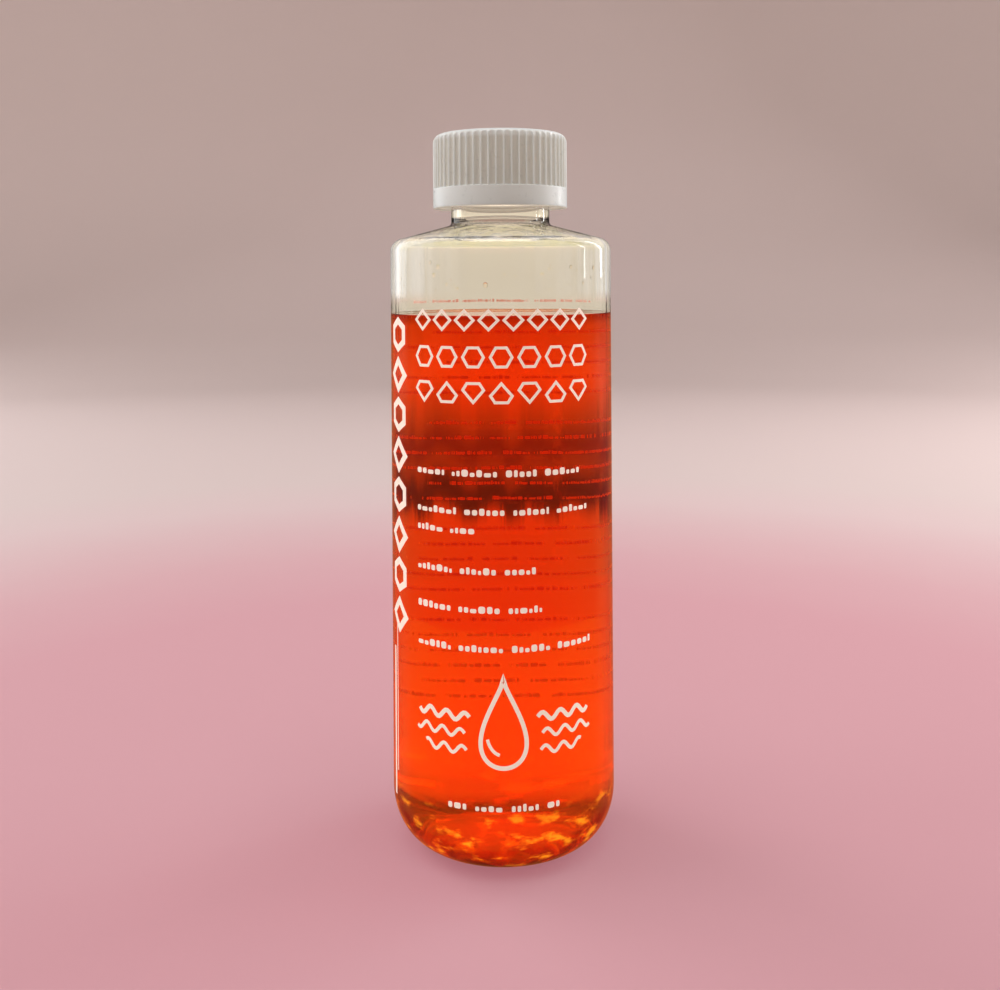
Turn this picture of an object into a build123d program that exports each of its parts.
from build123d import *
import os
from math import cos, radians, sin, tan

# Clear round bottle of glass-grinding coolant with a two-piece push-and-turn closure. Millimetres.
# The origin is the centre of the circle that the bottle stands on, +Z is up along the bottle's axis,
# and the printed front faces -Y.

# Bottle body
BODY_R = 26.0
WALL = 0.6
HEEL_IN = 9.0          # how far the heel curves in, from the body's side to the standing ring
HEEL_UP = 12.0         # how far up the side the heel curve reaches
RING_WIDTH = 2.0       # flat ring that the bottle stands on
PUSH_UP = 2.5          # height of the hollow under the base, in the middle and half way out
PUSH_UP_MID = 1.875
BASE_WALL = 2.2
SHOULDER_ANGLE = 15.0  # slope of the shoulder, in degrees
SHOULDER_TOP_Z = 142.75
SHOULDER_TOP_R = 12.4
CORNER_R = 3.0
FILL_Z = 122.0         # level of the liquid

# Neck and its one-turn thread, size 24-400
NECK_R = 11.6
NECK_BORE_R = 9.4
NECK_TOP_Z = 158.88
ROOT_R = 10.85
CREST_R = 11.95
PITCH = 3.175
NECK_STEP_Z = 149.6    # where the neck narrows to the thread's root
STEP_HEIGHT = 0.6
NECK_THREAD_Z = 153.3
NECK_THREAD_TURNS = 1.1
NECK_RIDGE_ROOT = 1.9  # width of the ridge at its root and at its crest
NECK_RIDGE_CREST = 0.7
BURIED = 0.25          # how deep a ridge's root is sunk in its wall, so that the two fuse

# Closure, from the outside in
CAP_R = 15.85
CAP_BOTTOM_Z = 146.9
CAP_TOP_Z = 164.4
CAP_EDGE_R = 2.0
SHELL_BORE_R = 14.5
SHELL_TOP_WALL = 1.2
BAND_TOP_Z = 151.5     # the ribs end here, above a plain band
RIB_COUNT = 56
RIB_WIDTH = 0.6        # width of a rib at its crest
RIB_FOOT = 0.85
GROOVE_DEPTH = 0.4
BEAD_R = 13.7          # snap bead that holds the inner cap in the shell
BEAD_Z = 147.3
BEAD_HEIGHT = 1.0

LUG_COUNT = 12
LUG_HEIGHT = 1.0
LUG_REST_GAP = 0.4     # between the two rings of lugs until the shell is pressed
LUG_IN_R = 9.6
LUG_OUT_R = 12.8
LUG_WIDTH = 2.0
LUG_RAMP = 0.7         # how much of a lug's width slopes, on its slipping side

INNER_TOP_WALL = 1.1
INNER_BORE_R = 12.15
INNER_SKIRT_R = 13.3
FLANGE_R = 14.2
FLANGE_Z = 148.5
FLANGE_HEIGHT = 1.2
CAP_RIDGE_CREST_R = 11.05
CAP_RIDGE_ROOT = 1.5
CAP_RIDGE_CREST = 0.6
CAP_RIDGE_DROP = 1.3   # how far the cap's ridge lies below the neck's ridge
CAP_THREAD_TURNS = 1.25

LINER_R = 11.9
LINER_THICKNESS = 0.8

FINGER_COUNT = 8
FINGER_WIDTH = 2.0
FINGER_THICKNESS = 0.6
FINGER_TIP_R = 8.8
FINGER_HUB_R = 4.4
FINGER_HOLE_R = 2.4

REST_GAP = 0.02        # between pieces that rest against each other
OVERRUN = 0.6          # how far a cutter runs out past the face that it opens

# Levels inside the closure
SHELL_CEILING_Z = CAP_TOP_Z - SHELL_TOP_WALL
INNER_TOP_Z = SHELL_CEILING_Z - 2 * LUG_HEIGHT - LUG_REST_GAP
INNER_CEILING_Z = INNER_TOP_Z - INNER_TOP_WALL
FOOT_R = BODY_R - HEEL_IN
PUSH_UP_R = FOOT_R - RING_WIDTH


def shoulder_z(r):
    """Height of the outer shoulder cone at radius r."""
    return SHOULDER_TOP_Z - (r - SHOULDER_TOP_R) * tan(radians(SHOULDER_ANGLE))


def shoulder_corner(side_r, drop, fillet_r):
    """The rounded corner between a side wall and a shoulder cone lying drop below the outer one.

    Gives the arc's start on the side wall, its middle and its end on the cone, as (r, z) pairs."""
    half_turn = radians((90 - SHOULDER_ANGLE) / 2)
    reach = fillet_r * tan(half_turn)
    corner_z = shoulder_z(side_r) - drop
    centre_r = side_r - fillet_r
    centre_z = corner_z - reach
    cone = radians(SHOULDER_ANGLE)
    start = (side_r, centre_z)
    middle = (centre_r + fillet_r * cos(half_turn), centre_z + fillet_r * sin(half_turn))
    end = (centre_r + fillet_r * sin(cone), centre_z + fillet_r * cos(cone))
    return start, middle, end


def base_edges(lift, side_inset):
    """The half outline of the base, raised by lift, out to the side wall set in by side_inset."""
    side_r = BODY_R - side_inset
    half_way = (PUSH_UP_R / 2, PUSH_UP_MID + lift)
    dome = ThreePointArc((0, PUSH_UP + lift), half_way, (PUSH_UP_R, lift))
    stand = Line((PUSH_UP_R, lift), (FOOT_R, lift))
    heel = EllipticalCenterArc((FOOT_R, HEEL_UP), side_r - FOOT_R, HEEL_UP - lift, 270, arc_size=90)
    return [dome, stand, heel]


def turned(edges):
    """The solid that a closed half outline in (r, z) sweeps round the bottle's axis."""
    upright = make_face(Plane.XZ * Wire(edges))
    return revolve(upright, Axis.Z, 360)


def ring(inner_r, outer_r, low_z, high_z):
    """A plain ring, or a disc where inner_r is 0."""
    section = Circle(outer_r)
    if inner_r > 0:
        section -= Circle(inner_r)
    return extrude(Plane.XY.offset(low_z) * section, high_z - low_z)


def thread_ridge(root_r, crest_r, root_width, crest_width, low_z, turns):
    """A helical ridge of trapezoid section, winding up anticlockwise from +X at low_z."""
    path = Helix(PITCH, PITCH * turns, root_r, center=(0, 0, low_z))
    outline = Polyline(
        (root_r, low_z - root_width / 2),
        (crest_r, low_z - crest_width / 2),
        (crest_r, low_z + crest_width / 2),
        (root_r, low_z + root_width / 2),
        close=True,
    )
    section = make_face(Plane.XZ * outline)
    return sweep(section, path=path, is_frenet=True)


def make_bottle():
    """One blown piece: base, side wall, shoulder and threaded neck, open at the top."""
    start, middle, end = shoulder_corner(BODY_R, 0, CORNER_R)
    neck_foot = (NECK_R, SHOULDER_TOP_Z + SHOULDER_TOP_R - NECK_R)
    outer = base_edges(0, 0) + [
        Line((BODY_R, HEEL_UP), start),
        ThreePointArc(start, middle, end),
        Line(end, (SHOULDER_TOP_R, SHOULDER_TOP_Z)),
        Line((SHOULDER_TOP_R, SHOULDER_TOP_Z), neck_foot),
        Line(neck_foot, (NECK_R, NECK_STEP_Z)),
        Line((NECK_R, NECK_STEP_Z), (ROOT_R, NECK_STEP_Z + STEP_HEIGHT)),
        Line((ROOT_R, NECK_STEP_Z + STEP_HEIGHT), (ROOT_R, NECK_TOP_Z)),
        Line((ROOT_R, NECK_TOP_Z), (0, NECK_TOP_Z)),
        Line((0, NECK_TOP_Z), (0, PUSH_UP)),
    ]
    start, middle, end = shoulder_corner(BODY_R - WALL, WALL, CORNER_R - WALL)
    bore_foot = (NECK_BORE_R, shoulder_z(NECK_BORE_R) - WALL)
    inner = base_edges(BASE_WALL, WALL) + [
        Line((BODY_R - WALL, HEEL_UP), start),
        ThreePointArc(start, middle, end),
        Line(end, bore_foot),
        Line(bore_foot, (NECK_BORE_R, NECK_TOP_Z + OVERRUN)),
        Line((NECK_BORE_R, NECK_TOP_Z + OVERRUN), (0, NECK_TOP_Z + OVERRUN)),
        Line((0, NECK_TOP_Z + OVERRUN), (0, PUSH_UP + BASE_WALL)),
    ]
    ridge = thread_ridge(
        ROOT_R - BURIED, CREST_R, NECK_RIDGE_ROOT, NECK_RIDGE_CREST, NECK_THREAD_Z, NECK_THREAD_TURNS
    )
    return turned(outer) + ridge - turned(inner)


def make_coolant():
    """The liquid, filling the bottle to its level and just clear of the wall."""
    side_inset = WALL + REST_GAP
    side_r = BODY_R - side_inset
    lift = BASE_WALL + REST_GAP
    edges = base_edges(lift, side_inset) + [
        Line((side_r, HEEL_UP), (side_r, FILL_Z)),
        Line((side_r, FILL_Z), (0, FILL_Z)),
        Line((0, FILL_Z), (0, PUSH_UP + lift)),
    ]
    return turned(edges)


def make_liner():
    """The soft sealing disc between the neck's rim and the inner cap's ceiling."""
    high_z = INNER_CEILING_Z - REST_GAP
    return ring(0, LINER_R, high_z - LINER_THICKNESS + 2 * REST_GAP, high_z)


def lug_ring(root_z, up, first_angle):
    """Drive lugs on one ring. up is 1 for lugs that stand and -1 for lugs that hang; each is ramped
    on the side where the shell slips when it is turned without being pressed."""
    root_z -= up * BURIED
    tip_z = root_z + up * (LUG_HEIGHT + BURIED)
    outline = Polyline(
        (-LUG_WIDTH / 2, root_z),
        (LUG_WIDTH / 2, root_z),
        (LUG_WIDTH / 2 - (LUG_RAMP if up > 0 else 0), tip_z),
        (-LUG_WIDTH / 2 + (0 if up > 0 else LUG_RAMP), tip_z),
        close=True,
    )
    face = make_face(Plane.YZ.offset(LUG_IN_R) * outline)
    lug = extrude(face, LUG_OUT_R - LUG_IN_R, dir=(1, 0, 0))
    step = 360 / LUG_COUNT
    return [Rot(0, 0, first_angle + i * step) * lug for i in range(LUG_COUNT)]


def make_inner_cap():
    """The threaded cap that seals the bottle, with a ring of lugs on top for the shell to drive."""
    cap = ring(0, INNER_SKIRT_R, FLANGE_Z, INNER_TOP_Z)
    cap += ring(0, FLANGE_R, FLANGE_Z, FLANGE_Z + FLANGE_HEIGHT)
    cap -= ring(0, INNER_BORE_R, FLANGE_Z - OVERRUN, INNER_CEILING_Z)
    ridge = thread_ridge(
        INNER_BORE_R + BURIED,
        CAP_RIDGE_CREST_R,
        CAP_RIDGE_ROOT,
        CAP_RIDGE_CREST,
        NECK_THREAD_Z - CAP_RIDGE_DROP,
        CAP_THREAD_TURNS,
    )
    cap += ridge
    cap += lug_ring(INNER_TOP_Z, 1, 0)
    return cap


def make_spring_fingers():
    """Sprung leaves under the shell's ceiling that hold the two rings of lugs apart."""
    low_z = INNER_TOP_Z + REST_GAP
    high_z = SHELL_CEILING_Z - REST_GAP
    hub = ring(0, FINGER_HUB_R, high_z - FINGER_THICKNESS, high_z)
    start_r = FINGER_HUB_R - FINGER_THICKNESS
    outline = Polyline(
        (start_r, high_z),
        (FINGER_HUB_R, high_z),
        (FINGER_TIP_R, low_z + FINGER_THICKNESS),
        (FINGER_TIP_R, low_z),
        (FINGER_TIP_R - FINGER_THICKNESS, low_z),
        (start_r, high_z - FINGER_THICKNESS),
        close=True,
    )
    face = make_face(Plane.XZ * outline)
    leaf = extrude(face, FINGER_WIDTH / 2, both=True)
    step = 360 / FINGER_COUNT
    fingers = hub + [Rot(0, 0, i * step) * leaf for i in range(FINGER_COUNT)]
    return fingers - ring(0, FINGER_HOLE_R, low_z, SHELL_CEILING_Z)


def rib_grooves():
    """The shallow grooves between the ribs, as one cutter that runs out through the rounded edge."""
    groove_r = CAP_R - GROOVE_DEPTH
    outside_r = CAP_R + GROOVE_DEPTH
    band = Circle(outside_r) - Circle(groove_r)
    flare = (RIB_FOOT - RIB_WIDTH) / GROOVE_DEPTH / 2
    inside = RIB_FOOT / 2 + flare * GROOVE_DEPTH
    outside = RIB_WIDTH / 2 - flare * GROOVE_DEPTH
    rib_outline = Polyline(
        (groove_r - GROOVE_DEPTH, -inside),
        (outside_r, -outside),
        (outside_r, outside),
        (groove_r - GROOVE_DEPTH, inside),
        close=True,
    )
    rib = make_face(rib_outline)
    step = 360 / RIB_COUNT
    grooves = band - [Rot(0, 0, i * step) * rib for i in range(RIB_COUNT)]
    return extrude(Plane.XY.offset(BAND_TOP_Z) * grooves, CAP_TOP_Z - BAND_TOP_Z)


def make_outer_cap():
    """The ribbed shell: turned alone it slips, pressed down its lugs drive the inner cap."""
    blank = ring(0, CAP_R, CAP_BOTTOM_Z, CAP_TOP_Z)
    top_edge = blank.edges().filter_by(GeomType.CIRCLE).sort_by(Axis.Z)[-1]
    shell = fillet(top_edge, CAP_EDGE_R)
    shell -= rib_grooves()
    shell -= ring(0, SHELL_BORE_R, CAP_BOTTOM_Z - OVERRUN, SHELL_CEILING_Z)
    bead = Polyline(
        (SHELL_BORE_R + BURIED, BEAD_Z - (SHELL_BORE_R - BEAD_R) / 2),
        (BEAD_R, BEAD_Z + BEAD_HEIGHT / 2),
        (BEAD_R, BEAD_Z + BEAD_HEIGHT),
        (SHELL_BORE_R + BURIED, BEAD_Z + BEAD_HEIGHT),
        close=True,
    )
    shell += turned(bead.edges())
    shell += lug_ring(SHELL_CEILING_Z, -1, 180 / LUG_COUNT)
    return shell


PIECES = {
    "bottle": make_bottle,
    "coolant": make_coolant,
    "liner": make_liner,
    "inner_cap": make_inner_cap,
    "spring_fingers": make_spring_fingers,
    "outer_cap": make_outer_cap,
}

os.makedirs("parts", exist_ok=True)
for name, make in PIECES.items():
    export_step(make(), f"parts/{name}.step")
